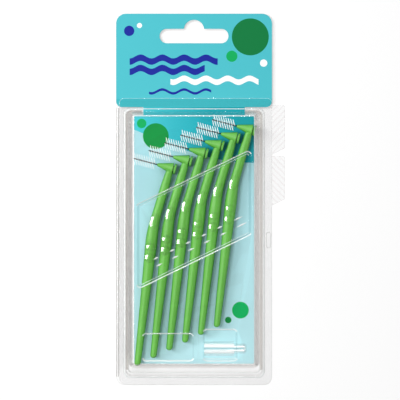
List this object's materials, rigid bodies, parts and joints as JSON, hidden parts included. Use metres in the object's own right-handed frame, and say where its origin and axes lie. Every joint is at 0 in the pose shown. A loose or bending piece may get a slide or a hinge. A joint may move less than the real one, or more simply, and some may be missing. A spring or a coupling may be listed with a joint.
{
  "type": "interdental brush pack",
  "caption": "Row of angled interdental brushes and a protective cap in a clear hinged pack with a hang card; the front half swings open on a living hinge.",
  "frame": {"origin": "middle of the pack's outline, pull tabs included, on its flat back", "axes": "+X across the pack, away from the hinge; +Y up the pack, towards the hang slot; +Z out of the front face"},
  "size_m": [0.0786, 0.1728, 0.0121],
  "materials": {
    "printed_card": "satin print",
    "clear_sheet": "clear formed plastic sheet, gloss",
    "clear_cap": "clear moulded plastic, gloss",
    "green_moulding": "gloss",
    "steel_wire": "satin",
    "nylon_filament": "satin"
  },
  "bodies": {
    "tray": {"header_card": "printed_card", "back_shell": "clear_sheet", "protective_cap": "clear_cap", "brush_1_handle": "green_moulding", "brush_1_wire": "steel_wire", "brush_1_filaments": "nylon_filament", "brush_2_handle": "green_moulding", "brush_2_wire": "steel_wire", "brush_2_filaments": "nylon_filament", "brush_3_handle": "green_moulding", "brush_3_wire": "steel_wire", "brush_3_filaments": "nylon_filament", "brush_4_handle": "green_moulding", "brush_4_wire": "steel_wire", "brush_4_filaments": "nylon_filament", "brush_5_handle": "green_moulding", "brush_5_wire": "steel_wire", "brush_5_filaments": "nylon_filament", "brush_6_handle": "green_moulding", "brush_6_wire": "steel_wire", "brush_6_filaments": "nylon_filament"},
    "lid": {"front_shell": "clear_sheet"}
  },
  "joints": [
    {"name": "lid_hinge", "type": "hinge", "parent": "tray", "child": "lid", "pos_m": [-0.03858, -0.0201, 0.0007], "axis": [0, -1, 0], "range_deg": [0, 120]}
  ]
}
